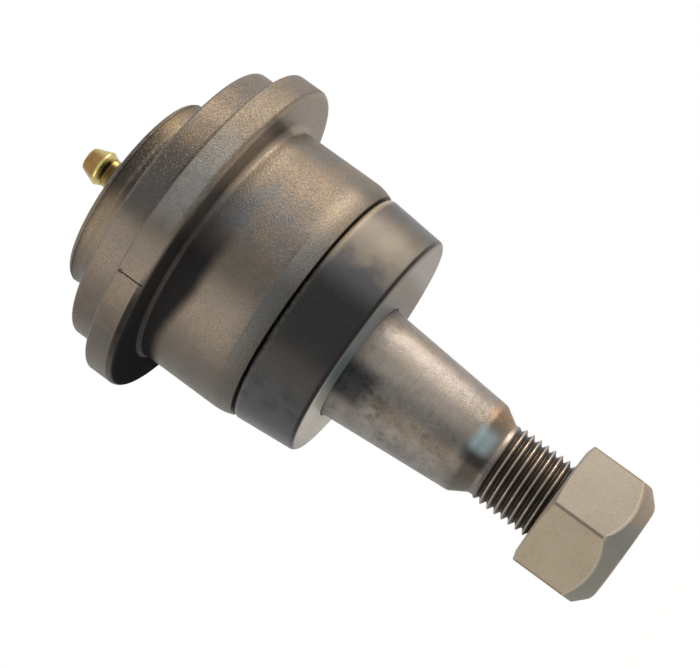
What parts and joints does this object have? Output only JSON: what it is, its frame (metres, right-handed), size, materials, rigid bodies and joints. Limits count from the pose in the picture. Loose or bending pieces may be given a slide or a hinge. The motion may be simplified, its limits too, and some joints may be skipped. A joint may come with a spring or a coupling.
{
  "type": "suspension ball joint",
  "caption": "Press-in offset ball joint with tapered threaded stud, lock nut, rubber boot and grease fitting, for joining a suspension arm to a steering knuckle.",
  "frame": {"origin": "on the housing's axis at the middle of the press land, the cylinder that is pressed into the arm", "axes": "+Z along the housing's axis from the threaded stud to the grease fitting; the ball socket and stud are offset from that axis towards -X; +Y completes the right-handed frame"},
  "size_m": [0.0596, 0.0596, 0.1103],
  "materials": {
    "housing_steel": "blasted and phosphated, brown-grey, satin",
    "race_steel": "ground",
    "liner_plastic": "moulded bearing plastic",
    "spring_steel": "bright hardened steel",
    "cover_steel": "pressed and phosphated, satin",
    "boot_rubber": "charcoal, matt",
    "stud_steel": "turned and ground, satin",
    "nut_zinc": "zinc plated, matt, warm grey",
    "fitting_brass": "golden, satin"
  },
  "bodies": {
    "housing": {"housing": "housing_steel", "lower_race": "race_steel", "pressure_seat": "race_steel", "preload_spring": "spring_steel", "cover_plate": "cover_steel", "cover_ring": "boot_rubber", "fitting_body": "fitting_brass", "check_spring": "spring_steel", "boot": "boot_rubber"},
    "liner": {"bearing_liner": "liner_plastic"},
    "lip": {"lip_spring": "spring_steel"},
    "stud": {"ball_stud": "stud_steel", "lock_nut": "nut_zinc"},
    "check_ball": {"check_ball": "spring_steel"}
  },
  "joints": [
    {"name": "swing_side", "type": "hinge", "parent": "housing", "child": "liner", "pos_m": [-0.0028, 0, 0.0003], "axis": [0, 1, 0], "range_deg": [-10, 10], "deforming": ["boot"]},
    {"name": "swing_fore_aft", "type": "hinge", "parent": "liner", "child": "lip", "pos_m": [-0.0028, 0, 0.0003], "axis": [1, 0, 0], "range_deg": [-10, 10], "deforming": ["boot"]},
    {"name": "stud_turn", "type": "hinge", "parent": "lip", "child": "stud", "pos_m": [-0.0028, 0, 0.0003], "axis": [0, 0, 1], "continuous": true},
    {"name": "check_ball_push", "type": "slide", "parent": "housing", "child": "check_ball", "axis": [0, 0, -1], "range_m": [0, 0.0008], "stiffness_N_per_m": 100, "springref_m": -0.001, "deforming": ["check_spring"]}
  ]
}
